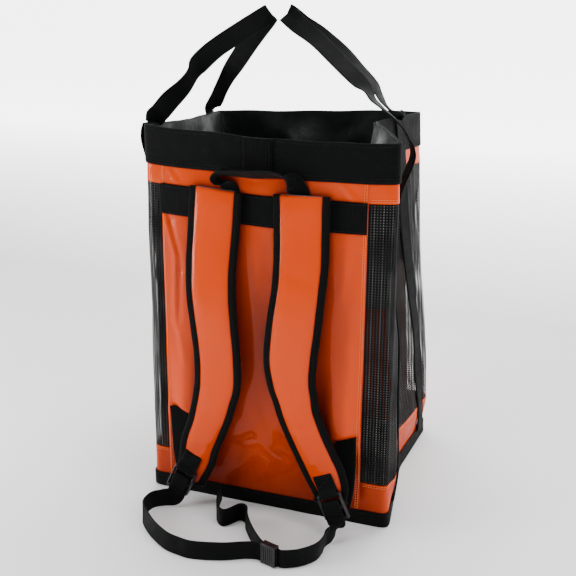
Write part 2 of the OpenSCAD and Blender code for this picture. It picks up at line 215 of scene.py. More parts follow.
def spacer_fabric(name, colour, light):
    """Padded spacer knit: staggered small holes."""
    made = Shader(name, colour, 0.85, Sheen_Weight=0.5)
    cells = made.node("TexVoronoi", {"Scale": 380.0, "Vector": made.place()}).outputs["Distance"]
    made.tint(colour, light, made.ramp(cells, 0.1, 0.6, 0, 1))
    made.bump(cells, 0.0006, 0.8)
    made.bump(made.noise(40, 3), 0.001, 0.4)
    return made.material


def foam_core(name, colour, light):
    """Closed-cell foam: pale cell walls and shallow pits."""
    made = Shader(name, colour, 0.8)
    cells = made.node("TexVoronoi", {"Scale": 700.0, "Vector": made.place()}).outputs["Distance"]
    made.tint(colour, light, made.ramp(cells, 0.2, 0.7, 0, 1))
    made.bump(cells, 0.0003, 0.6)
    return made.material


def moulded_plastic(name, colour, light):
    """Acetal: satin skin, faint orange-peel, paler worn spots."""
    made = Shader(name, colour, 0.36, Specular_IOR_Level=0.35)
    made.tint(colour, light, made.ramp(made.noise(120, 5), 0.55, 0.8, 0, 1))
    made.link(made.ramp(made.noise(90, 4), 0.3, 0.7, 0.28, 0.5), "Roughness")
    made.bump(made.noise(500, 3), 0.00012, 0.5)
    return made.material


def thread_fibre(name, colour, light):
    """Twisted sewing thread."""
    made = Shader(name, colour, 0.7, Sheen_Weight=0.03, Specular_IOR_Level=0.08)
    made.tint(colour, light, made.noise(1400, 2))
    made.bump(made.noise(2600, 2), 0.0001, 0.6)
    return made.material


MATERIALS = {
    # orange_pvc: its own orange, and a dark red painted shade colour for where other pieces stand close over
    # it
    "orange_pvc": coated_fabric("orange_pvc", (0.61, 0.047, 0.0), (0.10, 0.003, 0.0)),
    "black_webbing": webbing_fabric("black_webbing", (0.0013, 0.0015, 0.0015), (0.006, 0.007, 0.007)),
    "binding": webbing_fabric("edge_binding", (0.0012, 0.0015, 0.0012), (0.006, 0.007, 0.006), 0.0014),
    # black_mesh: its own black, and a pale grey painted glint colour
    "black_mesh": net_fabric("black_mesh", (0.0025, 0.0025, 0.0025), (0.24, 0.24, 0.235)),
    "liner_nylon": liner_fabric("liner_nylon", (0.004, 0.006, 0.005), (0.010, 0.014, 0.012)),
    "strap_lining": spacer_fabric("strap_lining", (0.008, 0.008, 0.008), (0.04, 0.04, 0.04)),
    "foam": foam_core("foam", (0.03, 0.03, 0.03), (0.07, 0.07, 0.07)),
    "black_plastic": moulded_plastic("black_plastic", (0.004, 0.004, 0.0045), (0.016, 0.016, 0.017)),
    "black_thread": thread_fibre("black_thread", (0.002, 0.002, 0.002), (0.008, 0.008, 0.008)),
    "orange_thread": thread_fibre("orange_thread", (0.62, 0.13, 0.02), (0.85, 0.28, 0.08)),
    "grey_thread": thread_fibre("grey_thread", (0.08, 0.08, 0.08), (0.2, 0.2, 0.2)),
}


# ---------------------------------------------------------------- mesh helpers
def new_piece(name, points, faces, material, uv=None, edge=None):
    """A smooth mesh object from points in mm; each point may have a uv pair in mm and an edge value (a worn
    edge, a painted glint, or an inner face that takes a painted shade).
    """
    mesh = bpy.data.meshes.new(name)
    mesh.from_pydata((np.asarray(points, float) * MM).tolist(), [], [list(map(int, f)) for f in faces])
    if uv is not None:
        layer = mesh.uv_layers.new(name="UVMap")
        corners = np.zeros(len(mesh.loops), int)
        mesh.loops.foreach_get("vertex_index", corners)
        layer.data.foreach_set("uv", (np.asarray(uv, float) * MM)[corners].ravel())
    if edge is not None:
        mesh.attributes.new("edge", "FLOAT", "POINT").data.foreach_set("value", np.asarray(edge, float))
    mesh.materials.append(MATERIALS[material])
    mesh.validate()
    mesh.polygons.foreach_set("use_smooth", [True] * len(mesh.polygons))
    made = bpy.data.objects.new(name, mesh)
    bpy.context.scene.collection.objects.link(made)
    return made


def grid_faces(rows, cols, close_rows=False, close_cols=False, flip=False):
    """Quads between the points of a grid stored row by row."""
    i, j = np.meshgrid(np.arange(rows if close_rows else rows - 1),
                       np.arange(cols if close_cols else cols - 1), indexing="ij")
    i2, j2 = (i + 1) % rows, (j + 1) % cols
    quads = np.stack([i * cols + j, i * cols + j2, i2 * cols + j2, i2 * cols + j], -1).reshape(-1, 4)
    return quads[:, ::-1] if flip else quads


def spline(points, steps):
    """Catmull-Rom curve through the points, as the CAD source draws it."""
    p = np.asarray(points, float)
    padded = np.vstack([p[:1], p, p[-1:]])
    t = (np.arange(steps) / steps)[:, None]
    out = []
    for a, b, c, d in zip(padded, padded[1:], padded[2:], padded[3:]):
        out.append(0.5 * (2 * b + (c - a) * t + (2 * a - 5 * b + 4 * c - d) * t ** 2
                          + (3 * b - a - 3 * c + d) * t ** 3))
    return np.vstack(out + [p[-1:]])


def unit(v):
    """Vectors of length 1 in the same directions."""
    return v / np.maximum(np.linalg.norm(v, axis=-1, keepdims=True), 1e-9)


def tangents(path):
    """The direction of travel at each point of a path."""
    return unit(np.gradient(path, axis=0))


def run_length(path):
    """The distance travelled at each point of a path."""
    return np.concatenate([[0], np.cumsum(np.linalg.norm(np.diff(path, axis=0), axis=1))])


def smooth_noise(points, scale, seed=0.0):
    """One value from -1 to 1 for each point, from smooth noise with features about scale mm wide."""
    offset = Vector((seed, seed * 0.7, -seed))
    return np.array([noise.noise(Vector(p) / scale + offset) for p in np.asarray(points).reshape(-1, 3)])


def webbing_profile(width, thick):
    """Closed outline of a webbing: three points round each corner and seven along each face."""
    radius = thick / 2 * 0.95
    cx, cz = width / 2 - radius, thick / 2 - radius
    corners = []
    for x, z, start in ((cx, cz, 0), (-cx, cz, 90), (-cx, -cz, 180), (cx, -cz, 270)):
        angle = np.radians(start + np.array([0, 45, 90]))
        corners.append(np.stack([x + radius * np.cos(angle), z + radius * np.sin(angle)], 1))
    flat = np.linspace(-0.8, 0.8, 7)[:, None] * width / 2
    top = np.hstack([flat[::-1], np.full_like(flat, thick / 2)])
    low = np.hstack([flat, np.full_like(flat, -thick / 2)])
    return np.vstack([corners[0], top, corners[1], corners[2], low, corners[3]])


EDGE_FADE = 1.6


def sweep(name, path, across, profile, material, worn_edges=True):
    """A closed profile (width, height) carried along a path; across is the width direction there."""
    path, across = np.asarray(path, float), np.asarray(across, float)
    along = tangents(path)
    wide = unit(across - along * np.sum(across * along, 1, keepdims=True))
    up = np.cross(wide, along)
    profile = profile if profile.ndim == 3 else np.repeat(profile[None], len(path), 0)
    points = path[:, None] + wide[:, None] * profile[..., :1] + up[:, None] * profile[..., 1:]
    rows, cols = points.shape[:2]
    faces = grid_faces(rows, cols, close_cols=True).tolist()
    faces += [list(range(cols))[::-1], [(rows - 1) * cols + k for k in range(cols)]]
    uv = np.stack([profile[..., 0], np.repeat(run_length(path)[:, None], cols, 1)], -1).reshape(-1, 2)
    reach = np.abs(profile[..., 0])
    edge = np.clip((reach - reach.max(1, keepdims=True) + EDGE_FADE) / EDGE_FADE, 0, 1).ravel()
    return new_piece(name, points.reshape(-1, 3), faces, material, uv, edge if worn_edges else None)


WEBBING_W = 25.0
WEBBING_T = 1.8


def webbing(name, path, across, width=WEBBING_W, thick=WEBBING_T):
    """Flat webbing along a path; across is the direction of its width."""
    return sweep(name, path, across, webbing_profile(width, thick), "black_webbing")


STITCHES = {}
STITCH_LENGTH = 2.7
STITCH_LIFT = 0.15
THREAD_R = 0.32
# Rings of one stitch: place along it, thickness and rise, so that its ends dive into the cloth
STITCH_RINGS = [(-0.5, 0.25, -0.5), (-0.3, 1.0, 0.1), (0.3, 1.0, 0.1), (0.5, 0.25, -0.5)]


def stitch_line(body, path, normals, pitch=3.6, thread="black_thread"):
    """Adds a run of stitches along a path to the thread piece of that body."""
    path, normals = np.asarray(path, float), unit(np.asarray(normals, float))
    distance = run_length(path)
    count = int(distance[-1] // pitch)
    if count < 1:
        return
    where = (np.arange(count) + 0.5) * distance[-1] / count

    def sample(values):
        return np.stack([np.interp(where, distance, values[:, k]) for k in range(3)], 1)

    centre, up, along = sample(path), unit(sample(normals)), unit(sample(tangents(path)))
    side = np.cross(up, along)
    points = []
    for share, size, rise in STITCH_RINGS:
        middle = centre + along * share * STITCH_LENGTH + up * (STITCH_LIFT + THREAD_R * rise)
        for angle in np.radians([0, 90, 180, 270]):
            points.append(middle + (side * math.cos(angle) + up * math.sin(angle)) * THREAD_R * size)
    STITCHES.setdefault((body, thread), []).append(np.stack(points, 1))


def finish_stitches():
    """One thread piece for each body and thread colour, with the 16 points of each stitch as a tube."""
    tube = grid_faces(4, 4, close_cols=True)
    for (body, thread), groups in STITCHES.items():
        points = np.concatenate(groups)
        faces = (tube[None] + 16 * np.arange(len(points))[:, None, None]).reshape(-1, 4)
        made = new_piece(f"stitching_{thread}_{body}", points.reshape(-1, 3), faces, thread)
        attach(made, body)


# ---------------------------------------------------------------- free webbing on the floor
SIGNS = {"left": 1, "right": -1}
LOCK_LEAN = 24
TAIL_T = 2.0
TAIL_ROUTES = {
    "left": [(-110, -188.5, 24), (-114, -192, 15), (-126, -196, 13), (-138, -207, 13), (-140, -225, 13),
             (-135, -238, 13), (-126, -249, 13), (-105, -268, 13), (-80, -284, 13), (-60, -289.5, 13),
             (-40, -291, 13), (-6, -282, 13), (18, -270.5, 13), (34, -266.3, 13), (49, -270.9, 13)],
    "right": [(108, -188.5, 27), (111.5, -192, 18), (108, -200, 13.5), (103, -213, 13), (103.5, -228, 13),
              (100, -245, 13), (86, -262, 13), (68, -271.8, 13), (59.5, -269.8, 13), (42, -264.4, 13),
              (28, -252, 13), (10, -230, 13), (-2, -212, 13), (-9, -197, 13), (-19, -195, 13),
              (-32, -214, 13), (-44, -207, 13), (-52, -190, 13), (-58, -170, 13), (-60, -159, 14)],
}
# Over how many route points a tail turns on edge, and how far it leans along the way
TAIL_TURN = 2.3
TAIL_STEPS = 8
TAIL_SWAY = np.array([0.16, 0.16, 0])


def across_lock(side):
    """The direction of the width of the webbing in a ladder lock, which leans to its own side."""
    lean = math.radians(LOCK_LEAN) * SIGNS[side]
    return np.array([math.cos(lean), 0, -math.sin(lean)])


def strap_tail(side):
    """The webbing leaves the lock lying flat, turns on edge and curves along the floor."""
    path = spline(TAIL_ROUTES[side], TAIL_STEPS)
    sign = SIGNS[side]
    on_edge = np.array([0, 0, -sign])
    turned = np.clip(np.arange(len(path)) / (TAIL_TURN * TAIL_STEPS), 0, 1)[:, None]
    leaning = smooth_noise(path, 60, sign)[:, None] * TAIL_SWAY * turned
    across = across_lock(side) * (1 - turned) + on_edge * turned + leaning
    made = webbing(f"strap_tail_{side}_webbing", path, across, thick=TAIL_T)
    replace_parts(made, f"strap_tail_{side}")
    return made, path


tails = {side: strap_tail(side) for side in SIGNS}


# ---------------------------------------------------------------- wall of the bag
BODY_H = 495
HALF_W = 333 / 2
HALF_D = 296 / 2
# How far the crease of each net side draws in at the rim, and how far the back of the rim leans left
PINCH_RIGHT = 53
PINCH_LEFT = 15
RIM_LEAN = 14
BINDING_H = 21
BOTTOM_PATCH_H = 60
TOP_PATCH_H = 70
RIM_BAND_H = 47
CORNER_CUT = 8
# Corners, seams and creases of the bag at its foot and at its rim, starting at the front left corner
BASE_KEYS = [(-HALF_W, -HALF_D, 0), (26 - HALF_W, -HALF_D, 0), (0, -HALF_D, 0), (HALF_W - 37, -HALF_D, 0),
             (HALF_W, -HALF_D, 0), (HALF_W - 20, 9, 0), (HALF_W - 9, HALF_D, 0), (HALF_W - 37, HALF_D, 0),
             (36 - HALF_W, HALF_D, 0), (8 - HALF_W, HALF_D, 0), (12 - HALF_W, -10, 0)]
RIM_KEYS = [(6 - HALF_W, -HALF_D - 2, BODY_H + 4), (30 - HALF_W, -HALF_D - 3, BODY_H + 2),
            (0, -HALF_D - 5, BODY_H - 5), (HALF_W - 38, -HALF_D - 5, BODY_H - 3),
            (HALF_W - 4, -HALF_D - 3, BODY_H - 1), (HALF_W - 21 - PINCH_RIGHT, 5, BODY_H + 1),
            (HALF_W - 24 - RIM_LEAN, HALF_D - 6, BODY_H), (HALF_W - 52 - RIM_LEAN, HALF_D - 6, BODY_H),
            (42 - HALF_W - RIM_LEAN, HALF_D - 22, BODY_H - 9),
            (6 - HALF_W - RIM_LEAN, HALF_D - 32, BODY_H - 10), (PINCH_LEFT - HALF_W, -60, BODY_H - 3)]
# Webbing edges on the side walls as shares between two keys: (base, rim)
RIGHT_FRONT_WEB = ((0.24, 0.40), (0.11, 0.26))
RIGHT_BACK_WEB = ((0.66, 0.84), (0.36, 0.54))
LEFT_BACK_WEB = ((0.17, 0.33), (0.10, 0.24))
LEFT_FRONT_WEB = ((0.54, 0.72), (0.56, 0.83))
# Which points of the plan start the seams and the webbings
SEAM_FRONT_LEFT, SEAM_FRONT_RIGHT, SEAM_BACK_RIGHT, SEAM_BACK_LEFT = 3, 5, 19, 20
WEB_RIGHT_FRONT, WEB_RIGHT_BACK, WEB_LEFT_BACK, WEB_LEFT_FRONT = 9, 14, 24, 29
# Spacing of the grid that the wall is worked out on
COLUMN_STEP = 3.2
WALL_ROWS = 156


def corner(a, p, b):
    """Three points that round the corner at p, between a and b."""
    first, last = p + unit(a - p) * CORNER_CUT, p + unit(b - p) * CORNER_CUT
    return [first, 0.25 * first + 0.5 * p + 0.25 * last, last]


def plan(keys, which):
    """The bag's outline as 31 points: three at a corner or crease, one at a seam, two at a webbing."""
    k = np.asarray(keys, float)

    def bend(i):
        return corner(k[i - 1], k[i], k[(i + 1) % len(k)])

    def web(i, shares):
        ahead = k[(i + 1) % len(k)] - k[i]
        return [k[i] + ahead * share for share in shares[which]]

    return np.array(bend(0) + [k[1], k[2], k[3]] + bend(4) + web(4, RIGHT_FRONT_WEB) + bend(5)
                    + web(5, RIGHT_BACK_WEB) + bend(6) + [k[7], k[8]] + bend(9)
                    + web(9, LEFT_BACK_WEB) + bend(10) + web(10, LEFT_FRONT_WEB))


def wall_grid():
    """Points of the undeformed wall, column by column, and the column of each plan point."""
    base, rim = plan(BASE_KEYS, 0), plan(RIM_KEYS, 1)
    gaps = np.linalg.norm(np.roll(base, -1, 0) - base, axis=1)
    counts = np.maximum(1, np.round(gaps / COLUMN_STEP)).astype(int)
    starts = np.concatenate([[0], np.cumsum(counts)])
    columns = []
    for i, count in enumerate(counts):
        t = (np.arange(count) / count)[:, None]
        j = (i + 1) % len(base)
        columns.append(np.stack([base[i] + (base[j] - base[i]) * t, rim[i] + (rim[j] - rim[i]) * t], 1))
    ends = np.vstack(columns)
    share = np.linspace(0, 1, WALL_ROWS)[None, :, None]
    return ends[:, :1] + (ends[:, 1:] - ends[:, :1]) * share, starts


def soften(values, amount, width):
    """Gaussian smoothing round the closed outline."""
    reach = int(3 * width)
    kernel = np.exp(-0.5 * (np.arange(-reach, reach + 1) / width) ** 2)
    kernel /= kernel.sum()
    blurred = sum(k * np.roll(values, s, 0) for k, s in zip(kernel, range(-reach, reach + 1)))
    return values + (blurred - values) * amount


def outward(points):
    """Unit normals of a grid of closed columns."""
    round_way = np.roll(points, -1, 0) - np.roll(points, 1, 0)
    up_way = np.gradient(points, axis=1)
    return unit(np.cross(round_way, up_way))


def bell(value, centre, width):
    """A smooth bump: 1 at the centre, fading over the width."""
    return np.exp(-((value - centre) / width) ** 2)


def step(value, low, high):
    """A smooth rise from 0 at low to 1 at high."""
    t = np.clip((value - low) / (high - low), 0, 1)
    return t * t * (3 - 2 * t)


def creases(x, z, folds):
    """Soft folds along lines on a panel, each high on one side and low on the other."""
    relief = 0.0
    for (ax, az), (bx, bz), depth, width in folds:
        dx, dz = bx - ax, bz - az
        length = math.hypot(dx, dz)
        along = ((x - ax) * dx + (z - az) * dz) / length ** 2
        across = ((x - ax) * dz - (z - az) * dx) / length / width
        fade = step(along, -0.15, 0.2) * (1 - step(along, 0.8, 1.15))
        relief = relief + depth * fade * across * np.exp(0.5 - across ** 2)
    return relief


# Folds of the panels: start, end, depth and width
FRONT_CREASES = [((-133, 392), (-118, 335), 1.9, 3.4), ((-118, 335), (-121, 250), 2.1, 3.6),
                 ((-128, 250), (-112, 190), -1.2, 7), ((110, 385), (102, 300), 1.3, 7),
                 ((112, 250), (126, 170), 1.3, 10), ((-8, 380), (-2, 200), 1.6, 14),
                 ((-20, 150), (16, 60), 1.4, 14), ((-128, 110), (-122, 30), -2.6, 6),
                 ((-136, 128), (-108, 96), 2.2, 8), ((130, 132), (100, 96), -2.2, 8),
                 ((84, 112), (76, 30), 1.8, 10), ((116, 100), (122, 34), 2.4, 7),
                 ((-126, 448), (-112, 430), 1.2, 3.6), ((90, 444), (106, 424), -1.1, 4)]
BACK_CREASES = [((-120, 400), (-40, 320), 1.6, 9), ((90, 380), (40, 250), -1.5, 11),
                ((-110, 180), (-60, 80), -1.6, 9), ((70, 170), (110, 60), 1.8, 8),
                ((10, 300), (-20, 120), 1.2, 14)]
# Small dents in the front: place, slope, half lengths along and across it, and depth
DENTS = [(-125, 439, 1.0, 8, 4, 1.5), (-135, 430, -0.8, 7, 4, 1.3), (-17, 438, 3.0, 14, 7, 1.3),
         (-126, 382, 0.3, 6, 4, 1.3), (-112, 318, 2.0, 11, 5, 1.2), (-124, 232, -1.5, 12, 5, 1.3),
         (-22, 96, 0.6, 12, 6, 1.5), (22, 80, -0.5, 14, 6, 1.5), (-40, 60, 1.4, 12, 6, 1.3),
         (110, 436, 2.0, 9, 4, 1.2)]


def front_relief(x, z):
    """How far the front panel stands out from flat: fullest at its sides, above a fold low down."""
    inside = step(x, -142, -108) * (1 - step(x, 106, 134))
    fold_z = 124 + 0.33 * (np.abs(x) - 104)
    sides = step(np.abs(x + 4), 74, 98)
    lip = 0.12 + 0.88 * step(z, fold_z - 8, fold_z)
    under = sides * lip + (1 - sides) * bell(z, fold_z, 60)
    above = np.where(z > fold_z, bell(z, fold_z, 95), under)
    relief = 12.5 * inside * above * (0.3 + 0.7 * sides)
    relief += 2.5 * inside * bell(z, 300, 120) + creases(x, z, FRONT_CREASES)
    for cx, cz, slope, long_way, short_way, depth in DENTS:
        along, across = (x - cx) + slope * (z - cz), (z - cz) - slope * (x - cx)
        relief -= depth * bell(along, 0, long_way) * bell(across, 0, short_way)
    return relief


def back_relief(x, z):
    """How far the back panel stands out from flat."""
    return 4.0 * bell(x, -10, 90) * bell(z, 220, 140) + creases(x, z, BACK_CREASES)


def side_relief(y, z, fullness, slack, gusset_y):
    """How far a net side stands out from flat: full low down, slack folds towards the gusset."""
    low = step(z, 15, 60) * (1 - step(z, 130, 330))
    relief = fullness * low * (0.35 + 0.65 * step(np.abs(y), 20, 110))
    return relief - slack * bell(y, gusset_y, 45) * step(z, 60, 160) * (1 - step(z, 330, 440))


def make_wall():
    """The skin of the whole bag: a grid of points by column and row, its normals and key columns."""
    points, starts = wall_grid()
    points = soften(points, 1.0, 1.4)
    normals = outward(points)
    x, y, z = points[..., 0], points[..., 1], points[..., 2]
    front = step(-y, 120, 140)
    right_side, left_side = step(x, 95, 125), step(-x, 115, 145)
    sides = (1 - front) * np.maximum(right_side, left_side) * (1 - step(y, 122, 140))
    loose = step(z, 0, 40) * (1 - 0.75 * step(z, 430, 450))
    relief = front * front_relief(x, z)
    relief += (1 - front) * right_side * side_relief(y, z, 7.0, 5.0, 5)
    relief += (1 - front) * left_side * side_relief(y, z, 4.0, 3.0, -35)
    relief += step(y, 120, 140) * back_relief(x, z)
    slack = smooth_noise(points, 75, 3.1).reshape(x.shape) * 2.4
    crumple = smooth_noise(points, 26, 8.4).reshape(x.shape) * 0.9
    relief += loose * (slack * (0.55 + 0.9 * sides) + crumple * (0.4 + 0.8 * sides))
    relief *= step(z, 2, 30)
    flat = np.stack([normals[..., 0], normals[..., 1], np.zeros_like(x)], -1)
    points = points + unit(flat) * relief[..., None]
    points[..., 2] += 1.6 * smooth_noise(points[:, -1], 55, 5.5)[:, None] * step(z, 380, BODY_H)
    return points, outward(points), starts


WALL, WALL_OUT, STARTS = make_wall()
COLUMNS = len(WALL)


def on_wall(column, height, lift=0.0):
    """Points on the bag's skin at fractional columns and heights in mm, lifted along its normal."""
    column, height = np.broadcast_arrays(np.asarray(column, float), np.asarray(height, float))
    row = np.clip(height / BODY_H * (WALL_ROWS - 1), 0, WALL_ROWS - 1.001)
    c0, r0 = np.floor(column).astype(int), row.astype(int)
    fc, fr = (column - c0)[..., None], (row - r0)[..., None]
    c0, c1 = c0 % COLUMNS, (c0 + 1) % COLUMNS

    def between(grid):
        first = grid[c0, r0] * (1 - fr) + grid[c0, r0 + 1] * fr
        second = grid[c1, r0] * (1 - fr) + grid[c1, r0 + 1] * fr
        return first * (1 - fc) + second * fc

    normal = unit(between(WALL_OUT))
    return between(WALL) + normal * np.asarray(lift, float)[..., None], normal


def key_column(index, share=0.0):
    """The column of a plan point, or of a place between it and the next."""
    laps, i = divmod(index, len(STARTS) - 1)
    return laps * COLUMNS + STARTS[i] + share * (STARTS[i + 1] - STARTS[i])


def front_column(x):
    """The column where the front, at the foot of the bag, has that x."""
    first, last = int(key_column(SEAM_FRONT_LEFT - 1)), int(key_column(SEAM_FRONT_RIGHT + 1))
    return np.interp(x, WALL[first:last + 1, 0, 0], np.arange(first, last + 1))


def cloth_on_wall(name, columns, heights, lift, thick, material, hem=0.0):
    """A layer of cloth on the skin, as a closed slab; hem thickens its edges a little."""
    c, h = np.meshgrid(columns, heights, indexing="ij")
    rows, cols = c.shape
    u = np.minimum(np.arange(rows), np.arange(rows)[::-1])[:, None]
    v = np.minimum(np.arange(cols), np.arange(cols)[::-1])[None, :]
    swell = hem * np.exp(-np.minimum(u, v) / 1.2)
    outer, _ = on_wall(c, h, lift + thick + swell)
    inner, _ = on_wall(c, h, lift)
    ring_out = [(0, k) for k in range(cols)] + [(k, cols - 1) for k in range(1, rows)]
    ring_out += [(rows - 1, k) for k in range(cols - 2, -1, -1)] + [(k, 0) for k in range(rows - 2, 0, -1)]
    index = [a * cols + b for a, b in ring_out]
    count = rows * cols
    faces = grid_faces(rows, cols, flip=True).tolist() + (grid_faces(rows, cols) + count).tolist()
    for a, b in zip(index, index[1:] + index[:1]):
        faces.append([a, b, count + b, count + a])
    across = run_length(outer[:, cols // 2])
    uv = np.stack(np.broadcast_arrays(across[:, None], h), -1).reshape(-1, 2)
    # Inner faces of coated cloth are flagged here for their painted shade
    back = np.repeat([0.0, 1.0], count) if material == "orange_pvc" else None
    return new_piece(name, np.concatenate([outer.reshape(-1, 3), inner.reshape(-1, 3)]), faces, material,
                     np.concatenate([uv, uv]), back)


def height_run(start, end, spacing=COLUMN_STEP):
    """Heights from start to end, about spacing mm apart."""
    return np.linspace(start, end, max(3, int((end - start) / spacing) + 1))


def column_run(start, end, spacing=COLUMN_STEP):
    """Columns from start to end, about spacing mm apart."""
    return np.linspace(start, end, max(3, int((end - start) * COLUMN_STEP / spacing) + 1))


def stitch_across(start, end, height, lift, **thread):
    """A row of stitches round the bag at one height."""
    points, normals = on_wall(column_run(start, end), height, lift)
    stitch_line("bag", points, normals, **thread)


def stitch_up(column, low, high, lift, **thread):
    """A row of stitches up one column."""
    points, normals = on_wall(column, height_run(low, high), lift)
    stitch_line("bag", points, normals, **thread)


ORANGE_SEAM = {"pitch": 3.4, "thread": "orange_thread"}
PANEL_T = 0.9
HARNESS_LIFT = 0.25
TOP_PATCH_LOW = BODY_H - TOP_PATCH_H
BAND_LOW = BODY_H - RIM_BAND_H
PANEL_TOP = BODY_H - 10
SIDES = {"right": (key_column(SEAM_FRONT_RIGHT), key_column(SEAM_BACK_RIGHT)),
         "left": (key_column(SEAM_BACK_LEFT), key_column(SEAM_FRONT_LEFT + len(STARTS) - 1))}
# How many columns the cloth of a side runs on under the next panels
SIDE_LAP = (1.8, 1.5)


def coated_panels():
    """Front and back panels and the solid patches at the top and foot of the net sides."""
    for name, first, last in (("front", SEAM_FRONT_LEFT, SEAM_FRONT_RIGHT),
                              ("back", SEAM_BACK_RIGHT, SEAM_BACK_LEFT)):
        start, end = key_column(first), key_column(last) - 0.6
        made = cloth_on_wall(f"{name}_panel_fabric", column_run(start, end), height_run(1, PANEL_TOP),
                             -PANEL_T, PANEL_T, "orange_pvc", 0.25)
        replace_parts(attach(made, "bag"), f"{name}_panel")
        for inset in (2.2, 4.6):
            for column in (start + inset / COLUMN_STEP, end - inset / COLUMN_STEP):
                stitch_up(column, BINDING_H, BAND_LOW, 0.0, **ORANGE_SEAM)
    for side, (start, end) in SIDES.items():
        for place, low, high in (("top", TOP_PATCH_LOW, PANEL_TOP), ("bottom", 1, BOTTOM_PATCH_H)):
            columns = column_run(start - SIDE_LAP[0], end + SIDE_LAP[1])
            made = cloth_on_wall(f"side_{place}_patch_{side}_fabric", columns, height_run(low, high, 2.6),
                                 -PANEL_T - 0.1, PANEL_T, "orange_pvc", 0.25)
            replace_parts(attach(made, "bag"), f"side_{place}_patch_{side}")
            for inset in (2.0, 4.5):
                height = low + inset if place == "top" else high - inset
                stitch_across(start + 0.5, end - 0.5, height, -0.1, **ORANGE_SEAM)


# Size of a hole as a share of its cell
NET_HOLE_ACROSS = 0.52
NET_HOLE_UP = 0.56


def net_side(side):
    """An open net: each cell is four faces round a hole, and its knots stand over and under by turns."""
    start, end = SIDES[side][0] - SIDE_LAP[0], SIDES[side][1] + SIDE_LAP[1]
    low, high = BOTTOM_PATCH_H - 4, TOP_PATCH_LOW + 4
    middle, _ = on_wall(column_run(start, end), BODY_H / 2, 0)
    across = int(run_length(middle)[-1] / NET_PITCH_ACROSS)
    up = int((high - low) / NET_PITCH_UP)
    columns, heights = np.linspace(start, end, across + 1), np.linspace(low, high, up + 1)
    c, h = np.meshgrid(columns, heights, indexing="ij")
    i, j = np.meshgrid(np.arange(across + 1), np.arange(up + 1), indexing="ij")
    knots, _ = on_wall(c, h, -0.35 + 0.25 * ((i + j) % 2))
    dc, dh = columns[1] - columns[0], heights[1] - heights[0]
    middle_c, middle_h = c[:-1, :-1] + dc / 2, h[:-1, :-1] + dh / 2
    pitch = np.array([NET_PITCH_ACROSS, NET_PITCH_UP])
    points = [knots.reshape(-1, 3)]
    uv = [(np.stack([i, j], -1).reshape(-1, 2) + 0.25) * pitch]
    for x, y in ((-1, -1), (1, -1), (1, 1), (-1, 1)):
        out_c, out_h = x * NET_HOLE_ACROSS / 2, y * NET_HOLE_UP / 2
        hole, _ = on_wall(middle_c + out_c * dc, middle_h + out_h * dh, -0.75)
        points.append(hole.reshape(-1, 3))
        place = np.stack([i[:-1, :-1] + out_c, j[:-1, :-1] + out_h], -1)
        uv.append((place.reshape(-1, 2) + 0.75) * pitch)
    number = np.arange(c.size).reshape(c.shape)
    rim = [number[:-1, :-1], number[1:, :-1], number[1:, 1:], number[:-1, 1:]]
    cells = across * up
    inner = [c.size + k * cells + np.arange(cells) for k in range(4)]
    faces = []
    for k in range(4):
        following = (k + 1) % 4
        faces.append(np.stack([rim[k].ravel(), rim[following].ravel(), inner[following], inner[k]], 1))
    # painted glint: the knots of every third column get a brighter painted glint, the others a fainter one
    painted_glint = (0.5 + 0.5 * (i % 3 == 0)).ravel()
    made = new_piece(f"side_mesh_{side}_net", np.concatenate(points), np.concatenate(faces), "black_mesh",
                     np.concatenate(uv), np.concatenate([painted_glint, np.zeros(4 * cells)]))
    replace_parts(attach(made, "bag"), f"side_mesh_{side}")


def ring_band(name, low, high, lift, thick, material, spacing=2.5):
    """Webbing or binding that goes all the way round, with rounded top and bottom edges."""
    heights = np.concatenate([[low], height_run(low + 0.9, high - 0.9, spacing), [high]])
    bulge = np.concatenate([[-0.45], np.zeros(len(heights) - 2), [-0.45]]) * thick
    c, h = np.meshgrid(np.arange(COLUMNS), heights, indexing="ij")
    outer, _ = on_wall(c, h, lift + thick + bulge)
    inner, _ = on_wall(c[:, ::-1], h[:, ::-1], lift - bulge[::-1])
    points = np.concatenate([outer, inner], 1)
    faces = grid_faces(COLUMNS, points.shape[1], close_rows=True, close_cols=True, flip=True)
    height = np.concatenate([h, h[:, ::-1]], 1)
    around = np.concatenate([c, c], 1) * COLUMN_STEP
    uv = np.stack([height, around], -1).reshape(-1, 2)
    near = np.minimum(np.abs(height - low), np.abs(height - high))
    edge = np.clip(1 - near / 1.5, 0, 1).ravel()
    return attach(new_piece(name, points.reshape(-1, 3), faces, material, uv, edge), "bag")


BAND_LIFT = 0.2
BAND_T = 1.6
BAND_TOP = BAND_LIFT + BAND_T
# Ends and thickness of the overlap of the rim band, and the heights of the harness band
JOINT_LEFT, JOINT_RIGHT, JOINT_T = -27.7, 9.9, 1.4
HARNESS_LOW, HARNESS_HIGH = 388, 426


def rim_and_base_bands():
    """The band round the rim, the tape folded over its top, and the binding round the foot."""
    rim = ring_band("rim_band_webbing", BAND_LOW, BODY_H, BAND_LIFT, BAND_T, "black_webbing")
    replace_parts(rim, "rim_band")
    ring_band("rim_fold_tape", PANEL_TOP + 0.5, BODY_H - 0.3, -2.2, 2.3, "black_webbing", 2.0)
    binding = ring_band("base_binding_tape", 0.3, BINDING_H, BAND_LIFT, BAND_T, "binding", 2.0)
    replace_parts(binding, "base_binding")
    for height in (BAND_LOW + 3.5, BAND_LOW + 6.5, BODY_H - 4, BINDING_H - 3.5):
        stitch_across(0, COLUMNS, height, BAND_TOP)


